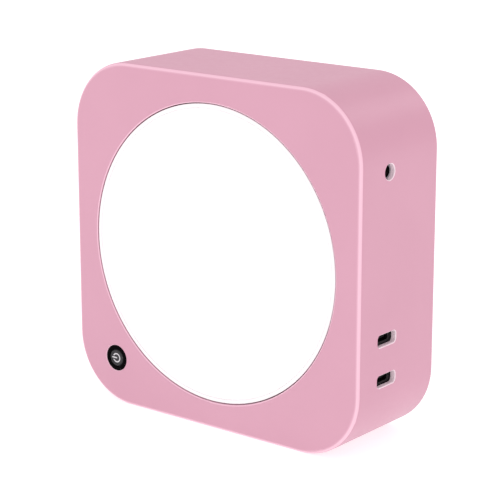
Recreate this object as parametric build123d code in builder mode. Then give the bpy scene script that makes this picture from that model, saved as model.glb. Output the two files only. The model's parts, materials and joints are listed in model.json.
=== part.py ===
from build123d import *
import math
import os

# Nail dust collector, in millimetres. It stands upright on its bottom side.
# +X is right, +Z is up and the front face looks along -Y. The origin lies under the
# middle of the whole object, on the surface that it stands on.
# "Depth" always means the distance behind the front face.

# ---- casing ----
WIDTH = 160.0
HEIGHT = 160.0
DEPTH = 56.0
CORNER_R = 31.0
WALL = 2.5
FRONT_FILLET = 2.0
REAR_FILLET = 0.6
RIM_W = 12.5
LIP_FILLET = 0.6
SKIRT_T = 2.0
FOOT_R = 6.0
FOOT_PROUD = 2.0
FOOT_INSET = 25.0
GAP = 0.3
THREAD_GAP = 0.05
HOLE_GAP = 0.2

# ---- filter cartridge and its seat ----
FILTER_RECESS = 0.4
FILTER_H = 13.1
FILTER_GAP = 0.4
FRAME_T = 1.8
LEDGE_W = 5.3
LEDGE_T = 1.5
FACE_T = 0.8
MEDIA_H = 10.0
PLEAT_PITCH = 4.8
PAPER_T = 0.6
LAYER_GAP = 0.2
SPOKE_W = 2.4
FRAME_FILLET = 0.4
GASKET_T = 0.6
MAGNET_R = 2.0
MAGNET_INSET = 2.5
MAGNET_T = 1.2

# ---- fan ----
GUARD_T = 2.2
GUARD_FUNNEL = 4.3
GUARD_LIP = 1.6
FUNNEL_GAP = 1.0
RUNNING_GAP = 1.2
EYE_GAP = 1.5
EYE_R = 34.0
EYE_LIP_T = 1.5
GRILLE_T = 1.6
GRILLE_HUB_R = 8.0
GRILLE_BAR_W = 1.8
GRILLE_BARS = 8
GRILLE_RING_W = 1.6
HOUSING_T = 2.0
FLANGE_T = 1.7
TONGUE_ANGLE = 130.0
SCROLL_TURN = 320.0
SCROLL_STEPS = 16
SCROLL_GROWTH = 14.0
SCROLL_MARGIN = 2.5
TIP_GAP = 3.0
BACK_GAP = 2.4
DISC_T = 1.6
SHROUD_T = 1.4
BLADE_T = 1.5
BLADE_COUNT = 11
BLADE_LEAN = 34.0
BLADE_INNER = 0.66
BLADE_BULGE = 3.8
HUB_FILLET = 1.0
DUCT_DROP = 52.0
EAR_GAP = 0.5
EAR_L = 8.0

# ---- motor ----
CAN_R = 15.6
CAN_T = 1.0
MAGNET_RING_T = 1.5
AIR_GAP = 0.6
STATOR_TEETH = 6
TUBE_R = 5.5
BEARING_R = 4.0
BEARING_W = 4.0
SHAFT_R = 1.5
BASE_R = 21.5
BASE_T = 2.5
BASE_STEP_IN = 2.0
BASE_STEP_T = 3.0
STATOR_SINK = 4.0
STATOR_RISE = 1.4
HUB_SINK = 0.8
CAN_SINK = 1.2
HUB_T = 1.6
CAN_FLOOR_T = 1.2
CAN_BOSS_R = 3.2
CAN_BOSS_L = 3.0
COIL_OVERHANG = 1.5
COIL_W = 3.8
COIL_GAP = 0.3
TOOTH_W = 1.8
TOOTH_TIP_T = 1.4
TOOTH_SLOT_W = 1.2
CORE_RING_T = 1.6
MOTOR_BOARD_T = 1.2
MOTOR_SCREW_R = 1.2
MOTOR_HEAD_R = 2.1
MOTOR_HEAD_T = 1.2
MOTOR_SCREW_INSET = 2.5
MOTOR_LEAD_DROP = 9.6
LEAD_HOLE_R = 1.6
BEARING_INSET = 1.5
SHAFT_GAP = 0.01
CLIP_T = 0.5
CLIP_BITE = 0.4
CLIP_RIM = 1.2
CLIP_MOUTH = 1.6

# ---- electronics bay and back cover ----
BAY_H = 10.0
COVER_T = 2.5
COVER_INSET = 0.5
COVER_GAP = 0.2
COVER_BOSS_R = 3.6
COVER_BOSS_INSET_X = 40.0
COVER_BOSS_INSET_Z = 8.0
COVER_SCREW_R = 1.2
COVER_SCREW_GRIP = 9.0
COVER_HEAD_R = 2.7
COVER_HEAD_T = 1.2
COVER_HEAD_SINK = 1.3
CROSS_W = 0.7
HOUSING_BOSS_R = 3.0
HOUSING_SCREW_R = 1.2
HOUSING_SCREW_GRIP = 6.0
HOUSING_HEAD_R = 2.6
HOUSING_HEAD_T = 1.6
PILOT_SPARE = 2.0
FOOT_SINK = 1.0
FOOT_FILLET = 0.8
VENT_W = 36.0
VENT_H = 1.8
VENT_PITCH = 5.0
VENT_ROWS = 5
VENT_DROP = 44.0
BOARD_T = 1.6
BOARD_SCREW_R = 0.9
BOARD_HOLE_R = 1.1
BOARD_HEAD_R = 1.9
BOARD_HEAD_T = 1.2
JACK_BOSS_R = 2.5
JACK_BOSS_INSET = 12.0
JACK_BOSS_RISE = 11.0
PORT_BOSS_R = 2.3
PORT_BOSS_SPREAD = 9.0
CONTROL_BOSS_R = 2.4
CONTROL_SCREW_GRIP = 2.4
CONTROL_W = 60.0
CONTROL_H = 28.0
CONTROL_FLOOR = 26.0
CONTROL_STANDOFF = 3.0
CONTROL_CORNER_R = 1.5
CHOKE_R = 4.0
CHOKE_CORE_R = 3.2
CHOKE_H = 4.2
CAPACITOR_R = 3.1
CAPACITOR_H = 4.8
CAPACITOR_FILLET = 0.5
LARGE_CHIP = (6.0, 5.0)
SMALL_CHIP = (3.5, 3.0)
CHIP_T = 1.1
LEAD_SOCKET_L = 5.0
LEAD_SOCKET_W = 4.4
LEAD_SOCKET_T = 4.0
TOP_SOCKET_W = 5.5
TOP_SOCKET_H = 3.4
TOP_SOCKET_DROP = 2.5
LEAD_R = 1.0
MOTOR_LEAD_R = 0.9

SLOT_H = 2.8
SLOT_PITCH = 5.0
SLOT_ROWS = 8
LABEL_W = 50.0
LABEL_H = 26.0
LABEL_T = 0.3
LABEL_GAP = 0.2
LABEL_R = 2.0
LABEL_RISE = 26.0

# ---- button ----
BUTTON_INSET_X = 22.8
BUTTON_HEIGHT = 21.5
BEZEL_R = 6.0
BEZEL_T = 0.8
BEZEL_GAP = 0.12
BEZEL_CHAMFER = 0.3
BEZEL_FILLET = 0.3
BARREL_R = 5.0
BARREL_GAP = 0.1
CAP_R = 4.0
CAP_GAP = 0.08
CAP_FLANGE_W = 0.45
CAP_FLANGE_T = 1.1
STEM_R = 1.2
SHOULDER_GAP = 0.05
PRESS = 1.5
CONTACT_GAP = 0.1
CAP_FRONT = 0.2
CAP_CHAMFER = 0.3
MARK_DEPTH = 0.3
SHOULDER = 3.9
STEM_END = 10.0
BRIDGE_R = 2.4
BRIDGE_T = 0.5
BASE_PLUG_R = 4.6
BASE_PLUG_FRONT = 13.0
BARREL_END = 17.0
TERMINAL_END = 21.0
TERMINAL_X = 1.6
TERMINAL_W = 0.6
TERMINAL_H = 2.0
BEZEL_GASKET_T = 0.4
NUT_T = 2.5
NUT_R = 6.5
SPRING_R = 3.2
SPRING_WIRE_R = 0.2
SPRING_GAP = 0.25
SPRING_TURNS = 5
MARK_R = 2.25
MARK_STROKE = 0.6
MARK_BAR = 3.0

# ---- sockets in the right wall ----
PORT_DEPTH = 20.5
USB_ABOVE_CORNER = 3.5
USB_PITCH = 18.0
USB_CUT_W = 13.4
USB_CUT_H = 5.4
USB_CUT_R = 1.8
USB_RECESS = 2.7
USB_SHELL_W = 8.94
USB_SHELL_H = 3.26
USB_SHELL_T = 0.3
USB_GAP = 0.3
USB_PLUG_T = 1.5
USB_TONGUE_W = 6.7
USB_TONGUE_T = 0.7
USB_TONGUE_SETBACK = 1.3
USB_BOARD_SETBACK = 10.4
PORT_BOARD_W = 26.0
PORT_BOARD_H = 29.0
PORT_SCREW_GRIP = 4.5
SOCKET_CHAMFER = 0.3
JACK_BELOW_TOP = 35.0
JACK_HOLE_R = 3.5
JACK_NOSE_R = 3.4
JACK_NOSE_SINK = 2.2
JACK_BODY_W = 11.0
JACK_BODY_H = 9.0
JACK_BODY_L = 14.3
JACK_BODY_DROP = 5.2
JACK_BODY_GAP = 0.2
JACK_BORE_R = 2.9
JACK_BORE_L = 10.0
JACK_SCREW_GRIP = 5.0
JACK_PIN_SINK = 2.0
JACK_PIN_INSET = 1.0
JACK_PIN_CHAMFER = 0.3
JACK_ROOT_PROUD = 0.4
JACK_BOARD_W = 15.5
JACK_BOARD_H = 27.0
JACK_BOARD_GAP = 3.0
JACK_PIN_R = 1.0
JACK_ROOT_R = 1.3

# ---- worked out from the sizes above ----
AXIS_Z = HEIGHT / 2
FRONT_Y = -(DEPTH + FOOT_PROUD) / 2
INNER_W = WIDTH - 2 * WALL
INNER_H = HEIGHT - 2 * WALL
INNER_R = CORNER_R - WALL
OPENING_R = min(WIDTH, HEIGHT) / 2 - RIM_W
SEAT_R = OPENING_R + SKIRT_T
INNER_REACH = min(INNER_W, INNER_H) / 2
EAR_CENTRE = (SEAT_R + INNER_REACH) / 2
EAR_W = INNER_REACH - SEAT_R - 2 * EAR_GAP
FRAME_R = OPENING_R - FILTER_GAP
FRAME_INNER = FRAME_R - FRAME_T
LEDGE_R = FRAME_INNER - LEDGE_W
MAGNET_CIRCLE = LEDGE_R + MAGNET_INSET
FILTER_BACK = FILTER_RECESS + FILTER_H
GUARD_FRONT = FILTER_BACK + GASKET_T
GUARD_BACK = GUARD_FRONT + GUARD_T
FLANGE_BACK = GUARD_BACK + FLANGE_T
COVER_BACK = DEPTH - COVER_INSET
COVER_FRONT = COVER_BACK - COVER_T
HOUSING_BACK = COVER_FRONT - BAY_H
CHAMBER_BACK = HOUSING_BACK - HOUSING_T
TONGUE_R = OPENING_R - SCROLL_MARGIN - SCROLL_GROWTH
IMPELLER_R = TONGUE_R - TIP_GAP
FUNNEL_R = TONGUE_R - FUNNEL_GAP
FUNNEL_BACK = GUARD_BACK + GUARD_FUNNEL
SHROUD_FRONT = FUNNEL_BACK + RUNNING_GAP
SHROUD_BACK = SHROUD_FRONT + SHROUD_T
SHROUD_EYE_R = EYE_R + EYE_LIP_T + EYE_GAP
DISC_BACK = CHAMBER_BACK - BACK_GAP
DISC_FRONT = DISC_BACK - DISC_T
HUB_R = CAN_R + HUB_T
HUB_FRONT = SHROUD_FRONT + HUB_SINK
CAN_FRONT = HUB_FRONT + HUB_T
CAN_BACK = DISC_BACK - CAN_SINK
STATOR_R = CAN_R - CAN_T - MAGNET_RING_T - AIR_GAP
STATOR_FRONT = CAN_FRONT + STATOR_SINK
STATOR_BACK = CAN_BACK - STATOR_RISE
BASE_STEP_R = CAN_R - BASE_STEP_IN
MOTOR_SCREW_CIRCLE = BASE_R - MOTOR_SCREW_INSET
MOTOR_BOARD_BACK = HOUSING_BACK - BASE_STEP_T
CONTROL_FRONT = HOUSING_BACK + CONTROL_STANDOFF
CONTROL_BACK = CONTROL_FRONT + BOARD_T
BUTTON_X = -WIDTH / 2 + BUTTON_INSET_X
BEZEL_HOLE_R = BEZEL_R + BEZEL_GAP
RIGHT_WALL_X = WIDTH / 2 - WALL
USB_BOARD_X = WIDTH / 2 - USB_BOARD_SETBACK
USB_LOW_Z = CORNER_R + USB_ABOVE_CORNER
USB_HIGH_Z = USB_LOW_Z + USB_PITCH
PORT_BOARD_Z = (USB_LOW_Z + USB_HIGH_Z) / 2
JACK_Z = HEIGHT - JACK_BELOW_TOP
USB_FACE_X = WIDTH / 2 - USB_RECESS
JACK_FRONT_X = RIGHT_WALL_X - JACK_BODY_GAP
JACK_BACK_X = JACK_FRONT_X - JACK_BODY_L
JACK_BOARD_FRONT = PORT_DEPTH + JACK_BODY_DROP
FOOT_X = WIDTH / 2 - FOOT_INSET
FOOT_Z = HEIGHT / 2 - FOOT_INSET

COVER_BOSSES = [
    (side * (WIDTH / 2 - COVER_BOSS_INSET_X), AXIS_Z + up * (HEIGHT / 2 - COVER_BOSS_INSET_Z))
    for side in (-1, 1)
    for up in (-1, 1)
]
HOUSING_BOSSES = [
    (EAR_CENTRE * math.cos(turn), AXIS_Z + EAR_CENTRE * math.sin(turn))
    for turn in (0, math.pi / 2, math.pi, 3 * math.pi / 2)
]
SIDE_SOCKETS = [(-1, 36.0), (1, 41.0), (1, 34.0)]
CONTROL_POSTS = [(-24.0, 50.0), (24.0, 50.0), (-16.0, 30.0), (16.0, 30.0)]
CHOKES = [(-12.0, 41.0)]
CAPACITORS = [(9.0, 44.0), (17.0, 41.0)]
LARGE_CHIPS = [(0.0, 33.0), (-4.0, 46.0)]
SMALL_CHIPS = [(7.0, 34.0), (-21.0, 43.0)]
JACK_BOSSES = [(WIDTH / 2 - JACK_BOSS_INSET, JACK_Z + up * JACK_BOSS_RISE) for up in (-1, 1)]
PORT_POSTS = [(PORT_DEPTH + side * PORT_BOSS_SPREAD, PORT_BOARD_Z) for side in (-1, 1)]
MAGNET_CENTRES = [
    (MAGNET_CIRCLE * math.cos(turn), AXIS_Z + MAGNET_CIRCLE * math.sin(turn))
    for turn in (math.pi / 4, 3 * math.pi / 4, 5 * math.pi / 4, 7 * math.pi / 4)
]
MOTOR_LEAD_HOLE = (0, AXIS_Z - MOTOR_LEAD_DROP)
MOTOR_SCREWS = [
    (MOTOR_SCREW_CIRCLE * math.cos(turn), AXIS_Z + MOTOR_SCREW_CIRCLE * math.sin(turn))
    for turn in (math.pi / 2, math.pi * 7 / 6, math.pi * 11 / 6)
]
FEET = [(side * FOOT_X, AXIS_Z + up * FOOT_Z) for side in (-1, 1) for up in (-1, 1)]
USB_PORTS = [(PORT_DEPTH, USB_LOW_Z), (PORT_DEPTH, USB_HIGH_Z)]
FAN_AXIS = Axis((0, FRONT_Y, AXIS_Z), (0, 1, 0))
FAN_SECTION = Plane(origin=(0, FRONT_Y, AXIS_Z))
BUTTON_AXIS = Axis((BUTTON_X, FRONT_Y, BUTTON_HEIGHT), (0, 1, 0))
BUTTON_SECTION = Plane(origin=(BUTTON_X, FRONT_Y, BUTTON_HEIGHT))


def facing(depth):
    """Plane parallel to the front face: its own x and y are the object's X and Z."""
    return Plane(origin=(0, FRONT_Y + depth, 0), x_dir=(1, 0, 0), z_dir=(0, -1, 0))


def sideways(x):
    """Plane parallel to the right wall: its own x is the depth and its y is Z."""
    return Plane(origin=(x, FRONT_Y, 0), x_dir=(0, 1, 0), z_dir=(1, 0, 0))


def at_depth(x, depth, z):
    """Point from its X, its depth behind the front face and its Z."""
    return (x, FRONT_Y + depth, z)


def discs(depth, radius, centres):
    """Equal round outlines at a depth, one at each (x, z) centre."""
    with BuildSketch(facing(depth)) as outline:
        with Locations(*centres):
            Circle(radius)
    return outline.sketch


def rings(depth, inner, outer, centres):
    """Equal ring outlines at a depth, one at each (x, z) centre."""
    with BuildSketch(facing(depth)) as outline:
        with Locations(*centres):
            Circle(outer)
            Circle(inner, mode=Mode.SUBTRACT)
    return outline.sketch


def rounded_panel(depth, width, height, radius):
    """Rounded rectangle about the middle of the case at a depth."""
    with BuildSketch(facing(depth)) as outline:
        with Locations((0, AXIS_Z)):
            RectangleRounded(width, height, radius)
    return outline.sketch


def ears(depth):
    """Four fixing ears around the seat ring, with their screw holes."""
    with BuildSketch(facing(depth)) as outline:
        for index in range(4):
            turn = 90.0 * index
            reach = EAR_CENTRE - EAR_L / 2
            middle = (
                reach * math.cos(math.radians(turn)),
                AXIS_Z + reach * math.sin(math.radians(turn)),
            )
            with Locations(middle):
                SlotCenterToCenter(EAR_L, EAR_W, rotation=turn)
    return outline.sketch


def scroll_radius(turned, grow):
    """Radius of the scroll after turning this far from its tongue, grown by a wall."""
    return TONGUE_R + SCROLL_GROWTH * turned / SCROLL_TURN + grow


def scroll_point(turned, grow):
    """Point on the scroll, as (x, z)."""
    angle = math.radians(TONGUE_ANGLE + turned)
    radius = scroll_radius(turned, grow)
    return (radius * math.cos(angle), AXIS_Z + radius * math.sin(angle))


def scroll_outline(depth, grow):
    """Scroll and outlet duct as one outline, grown by a wall and held inside the case."""
    outlet_x = -WIDTH / 2 - WALL
    top_z = AXIS_Z + scroll_radius(SCROLL_TURN, grow)
    tongue_x, tongue_z = scroll_point(0, 0)
    duct_low = AXIS_Z + scroll_radius(SCROLL_TURN, 0) - DUCT_DROP
    drop = grow * math.hypot(1, (tongue_z - duct_low) / (tongue_x - outlet_x))
    with BuildSketch(facing(depth)) as outline:
        with BuildLine():
            spiral = [
                scroll_point(SCROLL_TURN * step / SCROLL_STEPS, grow)
                for step in range(SCROLL_STEPS + 1)
            ]
            Spline(*spiral)
            Line(spiral[-1], spiral[0])
        make_face()
        with BuildLine():
            Polyline(
                (0, top_z),
                (outlet_x, top_z),
                (outlet_x, duct_low - drop),
                (tongue_x, tongue_z - drop),
                (0, AXIS_Z),
                close=True,
            )
        make_face()
        if grow > 0:
            with Locations((0, AXIS_Z)):
                RectangleRounded(
                    INNER_W - 2 * GAP, INNER_H - 2 * GAP, INNER_R - GAP, mode=Mode.INTERSECT
                )
    return outline.sketch


def save(piece, name):
    """Label a finished piece and write it as its own file."""
    piece.part.label = name
    export_step(piece.part, "parts/" + name + ".step")


def make_front_shell():
    """Front, sides, top and bottom of the case in one piece, with its bosses and cuts."""
    with BuildPart() as front_shell:
        with BuildSketch(facing(0)):
            with Locations((0, AXIS_Z)):
                RectangleRounded(WIDTH, HEIGHT, CORNER_R)
        extrude(amount=-DEPTH)
        fillet(front_shell.edges().group_by(Axis.Y)[0], FRONT_FILLET)
        fillet(front_shell.edges().group_by(Axis.Y)[-1], REAR_FILLET)
        extrude(
            rounded_panel(WALL, INNER_W, INNER_H, INNER_R),
            amount=-DEPTH,
            mode=Mode.SUBTRACT,
        )
        extrude(discs(WALL, SEAT_R, [(0, AXIS_Z)]), amount=-(GUARD_FRONT - WALL))
        extrude(
            discs(0, OPENING_R, [(0, AXIS_Z)]), amount=-GUARD_FRONT, mode=Mode.SUBTRACT
        )
        opening_edge = (
            front_shell.edges()
            .filter_by(GeomType.CIRCLE)
            .filter_by(lambda edge: abs(edge.radius - OPENING_R) < 0.01)
            .sort_by(Axis.Y)[0]
        )
        fillet(opening_edge, LIP_FILLET)
        bosses = (
            (COVER_BOSS_R, COVER_BOSSES, COVER_FRONT, COVER_SCREW_R, COVER_SCREW_GRIP),
            (HOUSING_BOSS_R, HOUSING_BOSSES, GUARD_FRONT, HOUSING_SCREW_R, HOUSING_SCREW_GRIP),
            (JACK_BOSS_R, JACK_BOSSES, JACK_BOARD_FRONT, BOARD_SCREW_R, JACK_SCREW_GRIP),
        )
        for boss_r, centres, top, screw_r, grip in bosses:
            extrude(discs(WALL, boss_r, centres), amount=-(top - WALL))
        for boss_r, centres, top, screw_r, grip in bosses:
            pilot = grip + PILOT_SPARE
            extrude(discs(top - pilot, screw_r + THREAD_GAP, centres), amount=-pilot,
                    mode=Mode.SUBTRACT)
        with BuildSketch(sideways(USB_BOARD_X)):
            with Locations(*PORT_POSTS):
                Circle(PORT_BOSS_R)
        extrude(amount=RIGHT_WALL_X - USB_BOARD_X)
        with BuildSketch(sideways(USB_BOARD_X)):
            with Locations(*PORT_POSTS):
                Circle(BOARD_SCREW_R + THREAD_GAP)
        extrude(amount=PORT_SCREW_GRIP + PILOT_SPARE, mode=Mode.SUBTRACT)
        # button hole, with a counterbore for the bezel
        button_centre = [(BUTTON_X, BUTTON_HEIGHT)]
        extrude(discs(0, BARREL_R + BARREL_GAP, button_centre), amount=-WALL, mode=Mode.SUBTRACT)
        extrude(discs(0, BEZEL_HOLE_R, button_centre), amount=-(BEZEL_T + BEZEL_GASKET_T),
                mode=Mode.SUBTRACT)
        bezel_edge = (
            front_shell.edges()
            .filter_by(GeomType.CIRCLE)
            .filter_by(lambda edge: abs(edge.radius - BEZEL_HOLE_R) < 0.01)
            .sort_by(Axis.Y)[0]
        )
        chamfer(bezel_edge, BEZEL_CHAMFER)
        # sockets in the right wall
        with BuildSketch(sideways(RIGHT_WALL_X)):
            with Locations((PORT_DEPTH, JACK_Z)):
                Circle(JACK_HOLE_R)
            with Locations(*USB_PORTS):
                RectangleRounded(USB_CUT_W, USB_CUT_H, USB_CUT_R)
        extrude(amount=WALL, mode=Mode.SUBTRACT)
        socket_rims = front_shell.faces().filter_by(Axis.X).sort_by(Axis.X)[-1].inner_wires()
        chamfer(socket_rims.edges(), SOCKET_CHAMFER)
        # exhaust slots in the left wall, where the outlet duct ends; they are cut twice as deep
        # as the wall, because the top one meets the rounded corner
        first_slot = AXIS_Z + scroll_radius(SCROLL_TURN, 0) - DUCT_DROP + SLOT_PITCH
        slot_depth = (FLANGE_BACK + CHAMBER_BACK) / 2
        with BuildSketch(sideways(-WIDTH / 2)):
            for row in range(SLOT_ROWS):
                with Locations((slot_depth, first_slot + row * SLOT_PITCH)):
                    SlotOverall(CHAMBER_BACK - FLANGE_BACK, SLOT_H)
        extrude(amount=2 * WALL, mode=Mode.SUBTRACT)
    save(front_shell, "front_shell")


def make_back_cover():
    """Inset plate that closes the back, with screw, foot and label recesses and vents."""
    with BuildPart() as back_cover:
        extrude(
            rounded_panel(
                COVER_FRONT, INNER_W - 2 * COVER_GAP, INNER_H - 2 * COVER_GAP, INNER_R - COVER_GAP
            ),
            amount=-COVER_T,
        )
        extrude(discs(COVER_FRONT, COVER_SCREW_R + 2 * HOLE_GAP, COVER_BOSSES), amount=-COVER_T,
                mode=Mode.SUBTRACT)
        extrude(discs(COVER_BACK - COVER_HEAD_SINK, COVER_HEAD_R + HOLE_GAP, COVER_BOSSES),
                amount=-COVER_HEAD_SINK, mode=Mode.SUBTRACT)
        extrude(discs(COVER_BACK - FOOT_SINK, FOOT_R + HOLE_GAP / 2, FEET), amount=-FOOT_SINK,
                mode=Mode.SUBTRACT)
        with BuildSketch(facing(COVER_BACK - LABEL_T)):
            with Locations((0, AXIS_Z + LABEL_RISE)):
                RectangleRounded(LABEL_W + 2 * LABEL_GAP, LABEL_H + 2 * LABEL_GAP, LABEL_R + LABEL_GAP)
        extrude(amount=-LABEL_T, mode=Mode.SUBTRACT)
        with BuildSketch(facing(COVER_FRONT)):
            for row in range(VENT_ROWS):
                with Locations((0, AXIS_Z - VENT_DROP + row * VENT_PITCH)):
                    SlotOverall(VENT_W, VENT_H)
        extrude(amount=-COVER_T, mode=Mode.SUBTRACT)
    save(back_cover, "back_cover")


def make_fasteners():
    """Screws of the back cover, the fan housing and the boards, one group for each."""
    with BuildPart() as cover_screws:
        head_front = COVER_BACK - COVER_HEAD_SINK
        extrude(discs(head_front, COVER_HEAD_R, COVER_BOSSES), amount=-COVER_HEAD_T)
        extrude(discs(COVER_FRONT - COVER_SCREW_GRIP, COVER_SCREW_R, COVER_BOSSES),
                amount=-(head_front - COVER_FRONT + COVER_SCREW_GRIP))
        with BuildSketch(facing(head_front + COVER_HEAD_T / 2)):
            with Locations(*COVER_BOSSES):
                Rectangle(1.2 * COVER_HEAD_R, CROSS_W)
                Rectangle(CROSS_W, 1.2 * COVER_HEAD_R)
        extrude(amount=-COVER_HEAD_T / 2, mode=Mode.SUBTRACT)
    save(cover_screws, "cover_screws")
    with BuildPart() as housing_screws:
        extrude(discs(FLANGE_BACK, HOUSING_HEAD_R, HOUSING_BOSSES), amount=-HOUSING_HEAD_T)
        extrude(discs(GUARD_FRONT - HOUSING_SCREW_GRIP, HOUSING_SCREW_R, HOUSING_BOSSES),
                amount=-(FLANGE_BACK - GUARD_FRONT + HOUSING_SCREW_GRIP))
    save(housing_screws, "housing_screws")
    with BuildPart() as port_screws:
        with BuildSketch(sideways(USB_BOARD_X - BOARD_T)):
            with Locations(*PORT_POSTS):
                Circle(BOARD_HEAD_R)
        extrude(amount=-BOARD_HEAD_T)
        with BuildSketch(sideways(USB_BOARD_X - BOARD_T)):
            with Locations(*PORT_POSTS):
                Circle(BOARD_SCREW_R)
        extrude(amount=BOARD_T + PORT_SCREW_GRIP)
    save(port_screws, "port_screws")
    for name, centres, seat, grip in (
        ("jack_screws", JACK_BOSSES, JACK_BOARD_FRONT, JACK_SCREW_GRIP),
        ("control_screws", CONTROL_POSTS, CONTROL_FRONT, CONTROL_SCREW_GRIP),
    ):
        with BuildPart() as screws:
            extrude(discs(seat + BOARD_T, BOARD_HEAD_R, centres), amount=-BOARD_HEAD_T)
            extrude(discs(seat - grip, BOARD_SCREW_R, centres), amount=-(grip + BOARD_T))
        save(screws, name)


def make_rubber_feet():
    """Four feet that hold the back clear of a table when the unit lies face up."""
    with BuildPart() as rubber_feet:
        extrude(discs(COVER_BACK - FOOT_SINK, FOOT_R, FEET),
                amount=-(DEPTH + FOOT_PROUD - COVER_BACK + FOOT_SINK))
        fillet(rubber_feet.edges().group_by(Axis.Y)[-1], FOOT_FILLET)
    save(rubber_feet, "rubber_feet")


def make_rating_label():
    """Blank label in its shallow recess on the back."""
    with BuildPart() as rating_label:
        with BuildSketch(facing(COVER_BACK - LABEL_T)):
            with Locations((0, AXIS_Z + LABEL_RISE)):
                RectangleRounded(LABEL_W, LABEL_H, LABEL_R)
        extrude(amount=-LABEL_T)
    save(rating_label, "rating_label")


def make_filter():
    """Round filter cartridge: frame, pleated paper, white face cloth and four magnets."""
    face_front = FILTER_RECESS + LAYER_GAP
    media_front = face_front + FACE_T + LAYER_GAP
    with BuildPart() as filter_frame:
        with BuildSketch(FAN_SECTION):
            with BuildLine():
                Polyline(
                    (FRAME_INNER, FILTER_RECESS),
                    (FRAME_R, FILTER_RECESS),
                    (FRAME_R, FILTER_BACK),
                    (LEDGE_R, FILTER_BACK),
                    (LEDGE_R, FILTER_BACK - LEDGE_T),
                    (FRAME_INNER, FILTER_BACK - LEDGE_T),
                    close=True,
                )
            make_face()
        revolve(axis=FAN_AXIS)
        with BuildSketch(facing(FILTER_BACK - LEDGE_T)):
            with Locations((0, AXIS_Z)):
                Rectangle(LEDGE_R + FRAME_INNER, SPOKE_W)
                Rectangle(SPOKE_W, LEDGE_R + FRAME_INNER)
        extrude(amount=-LEDGE_T)
        extrude(discs(FILTER_BACK - MAGNET_T, MAGNET_R, MAGNET_CENTRES), amount=-MAGNET_T,
                mode=Mode.SUBTRACT)
        fillet(filter_frame.edges().group_by(Axis.Y)[0], FRAME_FILLET)
    save(filter_frame, "filter_frame")
    with BuildPart() as filter_magnets:
        extrude(discs(FILTER_BACK - MAGNET_T, MAGNET_R, MAGNET_CENTRES), amount=-MAGNET_T)
    save(filter_magnets, "filter_magnets")
    with BuildPart() as filter_face:
        extrude(discs(face_front, FRAME_INNER, [(0, AXIS_Z)]), amount=-FACE_T)
    save(filter_face, "filter_face")
    media_r = FRAME_INNER - LAYER_GAP / 2
    media_back = media_front + MEDIA_H
    folds = int(2 * media_r / PLEAT_PITCH)
    start = -folds * PLEAT_PITCH / 2
    slant = PAPER_T * math.hypot(1, 2 * (MEDIA_H - PAPER_T) / PLEAT_PITCH)
    with BuildPart() as filter_media:
        front_line = [
            (start + fold * PLEAT_PITCH / 2,
             media_front if fold % 2 == 0 else media_back - slant)
            for fold in range(2 * folds + 1)
        ]
        back_line = [(x, depth + slant) for x, depth in reversed(front_line)]
        with BuildSketch(Plane(origin=(0, FRONT_Y, AXIS_Z - media_r))):
            with BuildLine():
                Polyline(*front_line, *back_line, close=True)
            make_face()
        extrude(amount=2 * media_r)
        with BuildSketch(facing(media_front)):
            with Locations((0, AXIS_Z)):
                Circle(media_r)
        extrude(amount=-MEDIA_H, mode=Mode.INTERSECT)
    save(filter_media, "filter_media")
    with BuildPart() as seat_gasket:
        extrude(rings(FILTER_BACK, MAGNET_CIRCLE + MAGNET_R + FILTER_GAP, FRAME_R, [(0, AXIS_Z)]),
                amount=-GASKET_T)
    save(seat_gasket, "seat_gasket")
    with BuildPart() as seat_magnets:
        extrude(discs(GUARD_FRONT, MAGNET_R, MAGNET_CENTRES), amount=-MAGNET_T)
    save(seat_magnets, "seat_magnets")


def make_inlet_guard():
    """Seat ring, funnel and finger guard in front of the fan."""
    lip_back = FUNNEL_BACK + GUARD_LIP
    with BuildPart() as inlet_guard:
        with BuildSketch(FAN_SECTION):
            with BuildLine():
                Polyline(
                    (SEAT_R, GUARD_FRONT),
                    (SEAT_R, GUARD_BACK),
                    (FUNNEL_R, GUARD_BACK),
                    (EYE_R + EYE_LIP_T, FUNNEL_BACK),
                    (EYE_R + EYE_LIP_T, lip_back),
                    (EYE_R, lip_back),
                    (EYE_R, FUNNEL_BACK - GUARD_T),
                    (FUNNEL_R, GUARD_FRONT),
                    close=True,
                )
            make_face()
        revolve(axis=FAN_AXIS)
        extrude(ears(GUARD_FRONT), amount=-GUARD_T)
        extrude(discs(GUARD_FRONT, HOUSING_SCREW_R + HOLE_GAP, HOUSING_BOSSES), amount=-GUARD_T,
                mode=Mode.SUBTRACT)
        with BuildSketch(facing(FUNNEL_BACK - GRILLE_T)):
            with Locations((0, AXIS_Z)):
                Circle(GRILLE_HUB_R)
                with PolarLocations((EYE_R + GRILLE_HUB_R) / 2, GRILLE_BARS):
                    Rectangle(EYE_R - GRILLE_HUB_R + EYE_LIP_T, GRILLE_BAR_W)
        extrude(amount=-GRILLE_T)
        for step in (1, 2):
            inner = GRILLE_HUB_R + (EYE_R - GRILLE_HUB_R) * step / 3 - GRILLE_RING_W / 2
            ring = rings(FUNNEL_BACK - GRILLE_T, inner, inner + GRILLE_RING_W, [(0, AXIS_Z)])
            extrude(ring, amount=-GRILLE_T)
        extrude(discs(GUARD_FRONT, MAGNET_R, MAGNET_CENTRES), amount=-MAGNET_T, mode=Mode.SUBTRACT)
    save(inlet_guard, "inlet_guard")


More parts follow.
